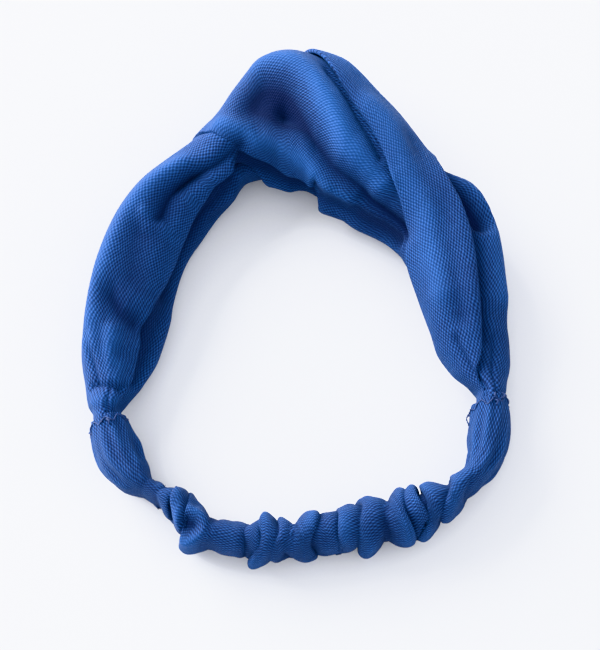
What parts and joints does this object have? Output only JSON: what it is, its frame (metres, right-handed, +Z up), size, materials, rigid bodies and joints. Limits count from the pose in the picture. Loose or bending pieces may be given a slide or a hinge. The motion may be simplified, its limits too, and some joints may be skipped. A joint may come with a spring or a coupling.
{
  "type": "headband",
  "caption": "Twist-front fabric headband: two strips wound once round each other, joined by a gathered casing over an elastic band.",
  "frame": {"origin": "on the table, under the middle of the headband's bounding box", "axes": "+Z up from the table, +Y towards the twist at the front, +X towards the wearer's side where strip A runs along the inner edge"},
  "size_m": [0.1718, 0.2076, 0.0438],
  "materials": {
    "blue_pique_jersey": "matt cobalt blue bird's-eye jersey with a soft sheen",
    "blue_pique_casing": "matt cobalt blue bird's-eye jersey, gathered",
    "navy_thread": "spun polyester sewing thread",
    "white_elastic_webbing": "woven elastic webbing"
  },
  "bodies": {
    "front_band": {"twist_strip_a": "blue_pique_jersey", "twist_strip_b": "blue_pique_jersey", "strip_a_seam_thread": "navy_thread", "strip_b_seam_thread": "navy_thread", "joint_stitching_left": "navy_thread", "joint_stitching_right": "navy_thread", "elastic_tack_left": "navy_thread", "elastic_tack_right": "navy_thread"},
    "elastic_back": {"elastic_casing": "blue_pique_casing", "elastic_band": "white_elastic_webbing", "casing_seam_thread": "navy_thread"}
  },
  "joints": [
    {"name": "elastic_stretch", "type": "slide", "parent": "front_band", "child": "elastic_back", "axis": [0, -1, 0], "range_m": [0, 0.045], "stiffness_N_per_m": 120, "deforming": ["elastic_casing", "elastic_band", "casing_seam_thread"]}
  ]
}
